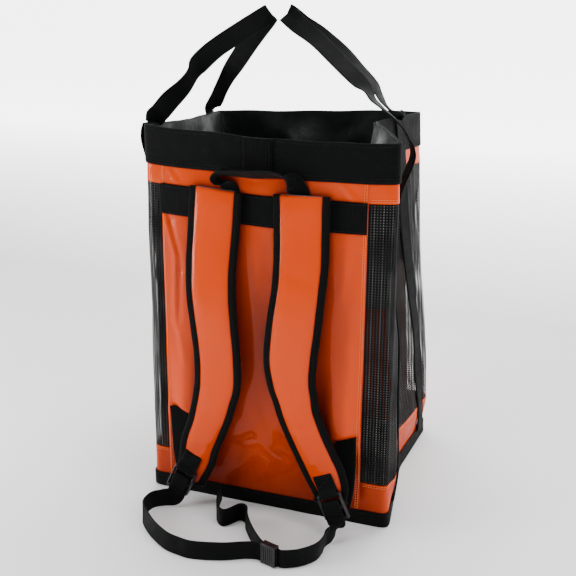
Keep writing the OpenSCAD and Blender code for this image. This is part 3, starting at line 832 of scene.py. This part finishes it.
def rim_joint():
    """Where the ends of the rim band overlap on the front."""
    start, end = front_column(JOINT_LEFT), front_column(JOINT_RIGHT)
    columns, heights = column_run(start, end, 2), height_run(BAND_LOW + 0.5, BODY_H - 0.5, 2)
    overlap = cloth_on_wall("rim_band_joint", columns, heights, BAND_TOP, JOINT_T, "black_webbing", 0.1)
    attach(overlap, "bag")
    for column in (start + 1, end - 1.1, end - 2.1):
        stitch_up(column, BAND_LOW + 3, BODY_H - 3, BAND_TOP + JOINT_T)


def harness_band():
    """The webbing across the front that the shoulder straps hang from."""
    start, end = key_column(SEAM_FRONT_LEFT) + 0.1, key_column(SEAM_FRONT_RIGHT) - 0.8
    columns, heights = column_run(start, end, 2.4), height_run(HARNESS_LOW, HARNESS_HIGH, 2.4)
    made = cloth_on_wall("harness_band_webbing", columns, heights, HARNESS_LIFT, BAND_T, "black_webbing", 0.1)
    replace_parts(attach(made, "bag"), "harness_band")
    for height in (HARNESS_LOW + 2.5, HARNESS_HIGH - 2.5):
        stitch_across(start, end, height, HARNESS_LIFT + BAND_T)


def base():
    """The floor of the bag, a little dished, under the binding."""
    ring = WALL[:, 0] * np.array([1, 1, 0])
    rows = []
    for share in (0.0, 0.25, 0.5, 0.75, 0.93, 1.0):
        loop = ring * (share * 0.994)
        loop[:, 2] = 1.3 + 0.9 * (1 - share) + 0.3 * smooth_noise(loop, 40, share)
        rows.append(loop)
    top = np.stack(rows)
    low = top[::-1] * np.array([1, 1, 0]) + np.array([0, 0, 0.4])
    points = np.concatenate([top, low])
    faces = grid_faces(len(points), COLUMNS, close_cols=True)
    points = points.reshape(-1, 3)
    made = new_piece("base_panel_fabric", points, faces, "liner_nylon", points[:, :2])
    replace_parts(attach(made, "bag"), "base_panel")


LINER_TOP = BODY_H - 1.0
LINER_LOW = 0.6 * BODY_H


def liner():
    """A loose collar of thin cloth, sewn in at the rim, that slumps into folds inside the opening."""
    c, s = np.meshgrid(np.arange(COLUMNS), np.linspace(0, 1, 46), indexing="ij")
    h = LINER_TOP - s * (LINER_TOP - LINER_LOW)
    skin, normal = on_wall(c, h, -3.0)
    flat = unit(normal * np.array([1, 1, 0]))
    turn = 2 * math.pi * c / COLUMNS
    folds = np.sin(turn * 9 + 3.2 * s + 1.3 * np.sin(turn * 2)) + 0.7 * np.sin(turn * 17 - 5 * s + 2.0)
    folds += 1.6 * smooth_noise(skin, 48, 1.7).reshape(c.shape)
    depth = (7.5 + 6.5 * folds) * step(s, 0.0, 0.25) * (1 - 0.55 * step(s, 0.75, 1.0))
    points = skin - flat * np.maximum(depth, 0.0)[..., None]
    sway = 2.0 * np.sin(7 * s + turn * 5) * step(s, 0, 0.3)
    points += unit(np.cross(flat, [0, 0, 1])) * sway[..., None]
    faces = grid_faces(*s.shape, close_rows=True)
    uv = np.stack([c * COLUMN_STEP, h], -1).reshape(-1, 2)
    made = new_piece("liner_collar_cloth", points.reshape(-1, 3), faces, "liner_nylon", uv)
    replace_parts(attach(made, "bag"), "liner_collar")
    around = np.mean([run_length(np.vstack([row, row[:1]]))[-1] for row in points.transpose(1, 0, 2)])
    down = np.mean([run_length(fold)[-1] for fold in points])


# ---------------------------------------------------------------- webbing up the sides and the handles
# Heights of a side webbing with how far it stands off the net; above the seam it hangs slack
WEB_RISE = [(18, 2.2), (60, 0.4), (120, 0.4), (180, 0.4), (240, 0.4), (300, 0.4), (360, 0.4), (410, 0.5),
            (428, 1.6), (442, 4.5), (458, 9.0), (473, 12.5), (486, 11.5), (495, 8.0)]
WEB_SLACK = {"left_front": 1.0, "left_back": 0.25, "right_front": 1.45, "right_back": 0.25}
WEB_SEWN_TO = 424
SIDE_WEBS = {"left_front": WEB_LEFT_FRONT, "left_back": WEB_LEFT_BACK,
             "right_front": WEB_RIGHT_FRONT, "right_back": WEB_RIGHT_BACK}


def side_webbing(name):
    """Webbing sewn up a side, slack near the rim. Returns its top point and width direction there."""
    column = key_column(SIDE_WEBS[name], 0.5)
    heights, rise = np.array(WEB_RISE, float).T
    lifts = WEBBING_T / 2 + rise * np.where(heights > WEB_SEWN_TO, WEB_SLACK[name], 1.0)
    middle, _ = on_wall(column, heights, lifts)
    ahead, _ = on_wall(column + 1, heights, lifts)
    path, across = spline(middle, 6), spline(unit(ahead - middle), 6)
    made = webbing(f"side_webbing_{name}_strip", path, across)
    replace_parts(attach(made, "bag"), f"side_webbing_{name}")
    up = unit(np.cross(across, tangents(path)))
    sewn = path[:, 2] < WEB_SEWN_TO
    for shift in (-9.6, 9.6):
        edge = path + unit(across) * shift + up * WEBBING_T / 2
        stitch_line("bag", edge[sewn], up[sewn])
    return path[-1], across[-1]


# Width direction of a handle's webbing before it turns, and once it has turned 90 degrees
HANDLE_FOLD = {"left": (0.68, 0, -0.73), "right": (0.47, 0.43, 0.78)}
HANDLE_DEPTH = (-0.31, 0.9, -0.31)
# Each point of a handle, from front to back: its place, and how many degrees its webbing has turned
HANDLE_SHAPES = {
    "left": [(-158, -118, 504, 8), (-151, -116.5, 511, 5), (-140, -113, 524, 25), (-125, -105, 540, 50),
             (-115, -98, 556, 60), (-109, -92, 568, 20), (-94, -78, 585, 0), (-74, -62, 601, 0),
             (-55, -43, 616, 0), (-44, -34, 624, 0), (-38.5, -29.5, 627.5, 0), (-43, -26, 622, 0),
             (-58, -20, 607, 10), (-76, -8, 590, 30), (-98, 15, 571, 45), (-125, 45, 548, 62),
             (-147, 64, 523, 68), (-161, 75, 504, 62), (-169, 80.5, 494, 68)],
    "right": [(157, -119, 503, 80), (144, -118, 516, 76), (128, -114, 527, 72), (117, -110, 535, 65),
              (109, -106, 545, 55), (97, -100, 554, 40), (64, -80, 577, 35), (35, -65, 598, 30),
              (8, -54, 614, 15), (-4, -50, 623, 5), (-10, -46.5, 627.5, 0), (-3, -43.5, 623, 0),
              (10, -38, 613, 10), (27, -24, 602, 25), (53, -5, 580, 40), (72, 14, 557, 52),
              (85, 32, 537, 52), (91, 47, 521, 62), (100, 58, 506, 75), (114, 64, 499, 80)],
}


def facing_back(across):
    """The width direction, turned round if it points to the front."""
    return across * np.sign(np.dot(across, HANDLE_DEPTH))


def handle(side):
    """One length of webbing: up from the front of the rim, folded flat at the top and back down."""
    ends = [side_webbing(f"{side}_{place}") for place in ("front", "back")]
    (front_end, front_across), (back_end, back_across) = ends
    shape = np.array(HANDLE_SHAPES[side], float)
    angles = np.radians(shape[:, 3:])
    turned = np.array(HANDLE_FOLD[side]) * np.cos(angles) + np.array(HANDLE_DEPTH) * np.sin(angles)
    route = np.vstack([front_end, shape[:, :3], back_end])
    laterals = np.vstack([facing_back(front_across), turned, facing_back(back_across)])
    made = webbing(f"handle_{side}_webbing", spline(route, 5), spline(laterals, 5))
    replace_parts(made, f"handle_{side}")
    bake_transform(made)


# ---------------------------------------------------------------- haul loop
# Each point of the haul loop, from left to right: its place, and the direction of its width
HAUL_SHAPE = [(-42, -152.2, 404, 1, 0, 0), (-43, -152.8, 416, 1, 0, 0), (-45, -153.8, 427, 1, 0, 0),
              (-49, -156.5, 433.5, 0.93, -0.3, 0.2), (-54, -161.5, 439, 0.5, -0.8, 0.3),
              (-54, -166.5, 444.5, 0.1, -0.95, 0.3), (-43, -169.5, 448.5, 0, -0.93, 0.37),
              (-10, -171, 449.5, 0, -0.88, 0.47), (10, -171, 451, 0, -0.88, 0.47),
              (27, -169, 449.5, -0.2, -0.9, 0.35), (37, -163.5, 442.5, -0.6, -0.75, 0.1),
              (42, -156.6, 434, -1, -0.2, 0), (45, -153.2, 424, -1, 0, 0), (46, -152.2, 411, -1, 0, 0)]


def haul_loop():
    """Webbing that stands off the front, sewn in behind the tops of the straps at both ends."""
    shape = spline(HAUL_SHAPE, 8)
    made = webbing("haul_loop_webbing", shape[:, :3], shape[:, 3:])
    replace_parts(made, "haul_loop")
    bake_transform(made)


# ---------------------------------------------------------------- shoulder straps
STRAP_T = 6.6
STRAP_EDGE_W = 10.0
SEAM_LAP = 1.5
# How far out the lower part of a strap lies
OUT = -174.5
# Each point of a strap, from its foot to its top: its place, and half its width
STRAPS = {
    "left": [(-97, OUT, 36, 21), (-87, OUT, 66, 25.5), (-81.5, OUT, 90, 27), (-73, OUT, 113, 27.5),
             (-65.5, OUT, 136, 29), (-60, OUT, 158, 30), (-55.5, OUT, 182, 31.5), (-56, OUT, 220, 31.5),
             (-60, -173.5, 258, 32), (-64.5, -170.5, 296, 33), (-65.5, -166, 334, 33.5),
             (-63.5, -161.5, 375, 34), (-60.5, -159, 427, 34)],
    "right": [(97, OUT, 40, 20), (95.5, OUT, 59, 25), (88, OUT, 79, 27.5), (78.5, OUT, 98, 27.5),
              (69, OUT, 117, 27.5), (60, OUT, 137, 28), (52.5, OUT, 156, 28.5), (48, OUT, 175, 30),
              (43, OUT, 195, 32), (41, OUT, 225, 34.5), (45, -172.5, 272, 35), (48.5, -169, 309, 34),
              (50, -164.5, 345, 34.5), (49, -161, 382, 34.5), (48, -159, 427, 35)],
}


def strap_frame(side):
    """Path of the middle, width and height directions, and half width, every few millimetres."""
    shape = spline(STRAPS[side], 8)
    path, half = shape[:, :3], shape[:, 3]
    along = tangents(path)
    wide = unit(np.array([1.0, 0, 0]) - along * along[:, :1])
    return path, wide, np.cross(wide, along), half


def strap_layer(name, side, outline, material):
    """A layer of the strap; outline(half width, run, whole run) gives its closed cross section."""
    path, wide, _, half = strap_frame(side)
    run = run_length(path)
    profile = np.stack([outline(h, r, run[-1]) for h, r in zip(half, run)])
    return sweep(name, path, wide, profile, material, worn_edges=False)


def slab(x, top, low):
    """Closed outline between a top line and a low line."""
    return np.concatenate([np.stack([x, top], 1), np.stack([x[::-1], low[::-1]], 1)])


def face_outline(half, run, total):
    """Crowned top skin that dips at the seams; it wrinkles a little where the strap bends."""
    q = np.sin(np.linspace(0.5, -0.5, 29) * math.pi)
    wave = 0.35 * np.sin(run / 17 + 0.8 * q) * bell(run, total * 0.42, 90)
    wave += 0.4 * bell(run, 132 + 9 * q, 6) - 0.3 * bell(run, 300 - 6 * q, 9)
    wrinkles = 0.4 * bell(run, 62 + 8 * q, 5) + 0.5 * bell(run, 96 - 7 * q, 5)
    wrinkles -= 0.4 * bell(run, 106 - 9 * q, 6)
    relief = (wave * (1 - q ** 2) + wrinkles) * (1 - q ** 4)
    crown = 2.3 - 1.3 * step(run, total - 14, total)
    top = STRAP_T / 2 - 0.9 + crown * (1 - q ** 4) + relief
    return slab((half - STRAP_EDGE_W + SEAM_LAP) * q, top, top - 0.9)


def lining_outline(half, run, total):
    """Thin lining against the wearer, a little full in the middle."""
    q = np.linspace(1, -1, 15)
    low = -STRAP_T / 2 + 0.7 * q ** 4
    return slab((half - STRAP_EDGE_W + SEAM_LAP) * q, low + 0.8, low)


def foam_outline(half, run, total):
    """The pad between the face and the lining."""
    q = np.linspace(1, -1, 15)
    crown = 1 - np.abs(q) ** 3
    return slab((half - STRAP_EDGE_W + 1) * q, 1.0 + 1.2 * crown, -1.4 - 0.6 * crown)


def flattened(wave, power):
    """A wave from -1 to 1 with wider crests, the smaller the power the wider."""
    return np.sign(wave) * np.abs(wave) ** power


def binding_outline(sign):
    """A rolled edge tape: full in the middle of its width, tucked in at the seam."""
    angle = np.linspace(0, 2 * math.pi, 20, endpoint=False)

    def outline(half, run, total):
        x = half - STRAP_EDGE_W / 2 + STRAP_EDGE_W / 2 * flattened(np.cos(angle), 0.75)
        z = (STRAP_T / 2 + 0.1) * flattened(np.sin(angle), 0.7)
        z = z + 0.15 * np.sin(run / 6.5) * np.sign(z)
        return np.stack([x * sign, z], 1)[::sign]

    return outline


def end_binding(side):
    """The edge tape turned across the closed lower end of the strap."""
    path, wide, _, half = strap_frame(side)
    share = np.linspace(-1, 1, 24)[:, None]
    along = tangents(path)[0]
    line = path[0] + wide[0] * half[0] * share + along * (5.0 * np.abs(share) ** 3 - 1.0)
    angle = np.linspace(0, 2 * math.pi, 16, endpoint=False)
    profile = np.stack([5.2 * np.cos(angle), (STRAP_T / 2 + 0.2) * np.sin(angle)], 1)
    return sweep(f"strap_end_binding_{side}", line, np.repeat([along], len(line), 0), profile, "binding")


def shoulder_strap(side):
    """Face, foam and lining, with an edge tape down both sides and across the foot."""
    body = f"strap_{side}"
    layers = {
        "face": strap_layer(f"strap_face_{side}_fabric", side, face_outline, "orange_pvc"),
        "lining": strap_layer(f"strap_lining_{side}_fabric", side, lining_outline, "strap_lining"),
        "foam": strap_layer(f"strap_foam_{side}_pad", side, foam_outline, "foam"),
        "binding": strap_layer(f"strap_binding_{side}_outer", side, binding_outline(1), "binding"),
    }
    for layer, made in layers.items():
        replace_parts(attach(made, body), f"strap_{layer}_{side}")
    other = strap_layer(f"strap_binding_{side}_inner", side, binding_outline(-1), "binding")
    for made in (other, end_binding(side)):
        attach(made, body)
    path, wide, up, half = strap_frame(side)
    for sign in (-1, 1):
        seam = path + wide * sign * (half[:, None] - STRAP_EDGE_W + 1.6) + up * (STRAP_T / 2 - 0.1)
        stitch_line(body, seam, up, 3.4)


# ---------------------------------------------------------------- ladder locks, their loops and anchors
LOCK_PLACES = {"left": (-100, -182.3, 51), "right": (97, -182.3, 54)}
LOCK_INNER_W = 26
LOCK_RAIL_W = 3
LOCK_BAR_R = 2.2
LOCK_LEN = 34


def lock_place(side, points):
    """Points given across, in depth and along a lock, moved to where that lock is."""
    across = across_lock(side)
    along = np.array([-across[2], 0, across[0]])
    return np.asarray(points, float) @ np.stack([across, [0, 1, 0], along]) + LOCK_PLACES[side]


def soft_box(points, faces, centre, size, radius, rounds=3):
    """Adds a box with rounded edges to a list of points and faces."""
    mesh = bmesh.new()
    bmesh.ops.create_cube(mesh, size=1, matrix=Matrix.Diagonal((*size, 1)))
    bmesh.ops.bevel(mesh, geom=mesh.edges[:], offset=radius, segments=rounds, profile=0.5, affect="EDGES")
    offset = len(points)
    mesh.verts.index_update()
    points += [tuple(np.array(v.co) + np.array(centre)) for v in mesh.verts]
    faces += [[v.index + offset for v in f.verts] for f in mesh.faces]
    mesh.free()


def ladder_lock(side):
    """Pivot bar, tapered rails, a ridged middle bar and a wide lip that webbing wraps round."""
    points, faces = [], []
    outer = LOCK_INNER_W + 2 * LOCK_RAIL_W
    soft_box(points, faces, (0, 0, 0), (outer, 2 * LOCK_BAR_R, 2 * LOCK_BAR_R), 1.9, 4)
    for sign in (-1, 1):
        rail = sign * (outer - LOCK_RAIL_W) / 2
        soft_box(points, faces, (rail, 0, -LOCK_LEN / 2), (LOCK_RAIL_W, 2 * LOCK_BAR_R, LOCK_LEN), 1.0)
        soft_box(points, faces, (rail, -2.2, -LOCK_LEN * 0.5), (LOCK_RAIL_W, 4.4, LOCK_LEN * 0.8), 1.1)
    soft_box(points, faces, (0, -1, -LOCK_LEN * 0.52), (outer - 1, 4.2, 4.2), 1.2)
    soft_box(points, faces, (0, -0.5, -LOCK_LEN + 2.5), (outer, 5.0, 5.4), 1.6)
    for k in range(9):
        soft_box(points, faces, ((k - 4) * 2.7, -2.9, -LOCK_LEN * 0.52), (1.3, 1.2, 3.6), 0.45, 2)
    for k in range(3):
        soft_box(points, faces, (0, -3.0, -LOCK_LEN + 0.9 + 1.6 * k), (outer - 8, 0.9, 0.8), 0.3, 2)
    made = new_piece(f"ladder_lock_{side}_body", lock_place(side, points), faces, "black_plastic")
    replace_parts(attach(made, f"lock_{side}"), f"ladder_lock_{side}")
    wrap = [(0, 3.9, -38), (0, 3.6, -31), (0, 3.4, -23), (0, 2.4, -11), (0, -1.0, -7.8), (0, -4.3, -10.5),
            (0, -4.6, -17), (0, -4.9, -24), (0, -5.4, -30)]
    path = lock_place(side, spline(wrap, 5))
    made = webbing(f"lock_webbing_{side}", path, np.tile(across_lock(side), (len(path), 1)), 22.5)
    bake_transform(made)


def end_loop(side):
    """Webbing sewn to the strap's face and folded round the lock's pivot bar."""
    radius = LOCK_BAR_R + 1.3
    low = [(0, 3.6, 27), (0, 3.5, 18), (0, 3.4, 8), (0, 3.2, 3)]
    turn = [(0, radius * math.cos(a), -radius * math.sin(a)) for a in np.radians(np.arange(0, 200, 22))]
    high = [(0, -2.0, 3.6), (0, 0.9, 7), (0, 1.7, 12), (0, 1.8, 19), (0, 1.9, 25.5)]
    path = lock_place(side, spline(low + turn + high, 4))
    across = np.tile(across_lock(side), (len(path), 1))
    made = webbing(f"strap_end_loop_{side}_webbing", path, across, WEBBING_W, 1.5)
    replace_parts(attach(made, f"strap_{side}"), f"strap_end_loop_{side}")
    a, b, c, d = (-9.5, 0.9, 12), (9.5, 0.9, 12), (9.5, 1.0, 23), (-9.5, 1.0, 23)
    line = lock_place(side, [a, b, c, d, a, c, b, d])
    for first, last in zip(line, line[1:]):
        run = first + (last - first) * np.linspace(0, 1, 8)[:, None]
        stitch_line(f"strap_{side}", run, np.tile([0, -1.0, 0], (8, 1)), 2.8)


ANCHORS = {
    "left": [(-122.5, -151.4, 117), (-119, -156, 98), (-114.5, -163, 79), (-110, -168, 60), (-107, -169, 44),
             (-107, -170, 35), (-108, -173, 27), (-111, -178.4, 18)],
    "right": [(109, -152, 120), (111.5, -158, 100), (113, -164, 80), (113, -168, 60), (111, -169, 45),
              (109.5, -170, 36), (109.5, -173, 28), (111, -178.4, 19)],
}


def anchor(side):
    """Webbing from the front panel down to the lock, turning until it lies as the lock does."""
    route = np.array(ANCHORS[side], float)
    x, y, z = route[0]
    path = spline(np.vstack([(x * 1.02, y + 2.2, z + 10), route]), 7)
    turned = step(np.linspace(0, 1, len(path)), 0.55, 1)[:, None]
    across = np.array([1.0, 0, 0]) * (1 - turned) + across_lock(side) * turned
    made = webbing(f"anchor_webbing_{side}_strip", path, across, WEBBING_W, 1.6)
    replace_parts(made, f"anchor_webbing_{side}")
    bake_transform(made)


# ---------------------------------------------------------------- belt buckle
BUCKLE_PLACE = (50, -269, 0.3)
BUCKLE_YAW = -17
BUCKLE_SIZE = (21, 9, 27.4)


def belt_buckle():
    """A ribbed keeper with a rounded frame, two webbing slots and grip ridges on its face."""
    points, faces = [], []
    w, d, h = BUCKLE_SIZE
    for z in (0.9, h - 0.9):
        soft_box(points, faces, (0, 0, z), (w, d, 1.8), 0.85)
    for y in (-d / 2 + 0.5, 0, d / 2 - 0.5):
        soft_box(points, faces, (0, y, h / 2), (w - 0.6, 0.9, h - 1), 0.35, 2)
    for sign in (-1, 1):
        for y in (-d / 2 + 0.7, d / 2 - 0.7):
            soft_box(points, faces, (sign * (w / 2 - 1.6), y, h / 2), (3.2, 1.8, h), 0.8)
    for k in range(5):
        soft_box(points, faces, ((k - 2) * 3.1, -d / 2 - 0.1, h / 2), (1.2, 1.0, h - 6), 0.4, 2)
    turn = np.array(Matrix.Rotation(math.radians(BUCKLE_YAW), 3, "Z"))
    made = new_piece("belt_buckle_body", np.array(points) @ turn.T + BUCKLE_PLACE, faces, "black_plastic")
    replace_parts(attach(made, "bag"), "belt_buckle")
    return made


def attach_tail(side):
    """Bakes a tail's placement into its mesh."""
    tail, path = tails[side]
    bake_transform(tail)
    float(run_length(path)[-1]) * MM


coated_panels()
for side in SIGNS:
    net_side(side)
rim_and_base_bands()
rim_joint()
harness_band()
base()
liner()
for side in SIGNS:
    handle(side)
haul_loop()
for side in SIGNS:
    shoulder_strap(side)
    ladder_lock(side)
    end_loop(side)
    anchor(side)
buckle = belt_buckle()
for side in SIGNS:
    attach_tail(side)
finish_stitches()


# ---------------------------------------------------------------- floor and light
FLOOR_REACH = 12000
SWEEP_START = 3000
SWEEP_R = 1500
SWEEP_TOP = 6000
PAPER = (0.9, 0.9, 0.9)
LIGHTS = [
    # name, place, target, size, power
    ("strip_left", (-1.4, -1.0, 0.6), (0, -0.1, 0.3), (0.025, 1.5), 11),
    ("low_strip", (-1.25, -1.15, 0.4), (0, -0.15, 0.25), (0.015, 0.8), 7),
    ("soft_left", (-1.9, -0.75, 0.7), (0, -0.1, 0.3), (0.5, 1.2), 27),
    ("strip_right", (1.4, -1.1, 0.7), (0, -0.1, 0.3), (0.028, 1.4), 7),
    ("soft_right", (1.9, -0.75, 0.8), (0.1, 0, 0.25), (0.5, 1.2), 22),
    ("top", (0, 0.15, 2.2), (0, 0, 0.3), (1.3, 1.3), 44),
]
WORLD_STRENGTH = 0.18


def floor_paper():
    """Pale paper that glows far behind the bag, where the picture goes towards white."""
    made = Shader("floor_paper", PAPER, 0.9, Specular_IOR_Level=0.1, Emission_Color=(1, 1, 1, 1))
    made.tint(PAPER, (0.87, 0.87, 0.87), made.noise(3))
    behind = made.node("SeparateXYZ", {0: made.place()}).outputs["Y"]
    made.link(made.ramp(behind, 0.7, 3.2, 0.0, 4.2), "Emission Strength")
    return made.material


def floor():
    """A pale sweep: flat under the bag, curving up far behind it."""
    across = np.linspace(-FLOOR_REACH, FLOOR_REACH, 9)
    angles = np.linspace(0.15, math.pi / 2, 10)
    curve = [(SWEEP_START + SWEEP_R * math.sin(a), SWEEP_R * (1 - math.cos(a))) for a in angles]
    back = [(-FLOOR_REACH, 0), (SWEEP_START, 0)] + curve + [(SWEEP_START + SWEEP_R, SWEEP_TOP)]
    points = [(x, y, z - 0.05) for y, z in back for x in across]
    made = new_piece("floor_sweep", points, grid_faces(len(back), len(across), flip=True), "grey_thread")
    made.data.materials[0] = floor_paper()


def area_light(name, place, target, size, power):
    data = bpy.data.lights.new(name, "AREA")
    data.shape = "RECTANGLE"
    data.size, data.size_y = size
    data.energy = power
    made = bpy.data.objects.new(name, data)
    bpy.context.scene.collection.objects.link(made)
    made.location = place
    made.rotation_euler = (Vector(target) - Vector(place)).to_track_quat("-Z", "Y").to_euler()


def studio():
    """Lights at both sides, which shade the panel between the straps, and one above."""
    world = bpy.data.worlds.new("studio")
    world.use_nodes = True
    background = world.node_tree.nodes["Background"]
    background.inputs["Color"].default_value = (1, 1, 1, 1)
    background.inputs["Strength"].default_value = WORLD_STRENGTH
    bpy.context.scene.world = world
    for light in LIGHTS:
        area_light(*light)


floor()
studio()
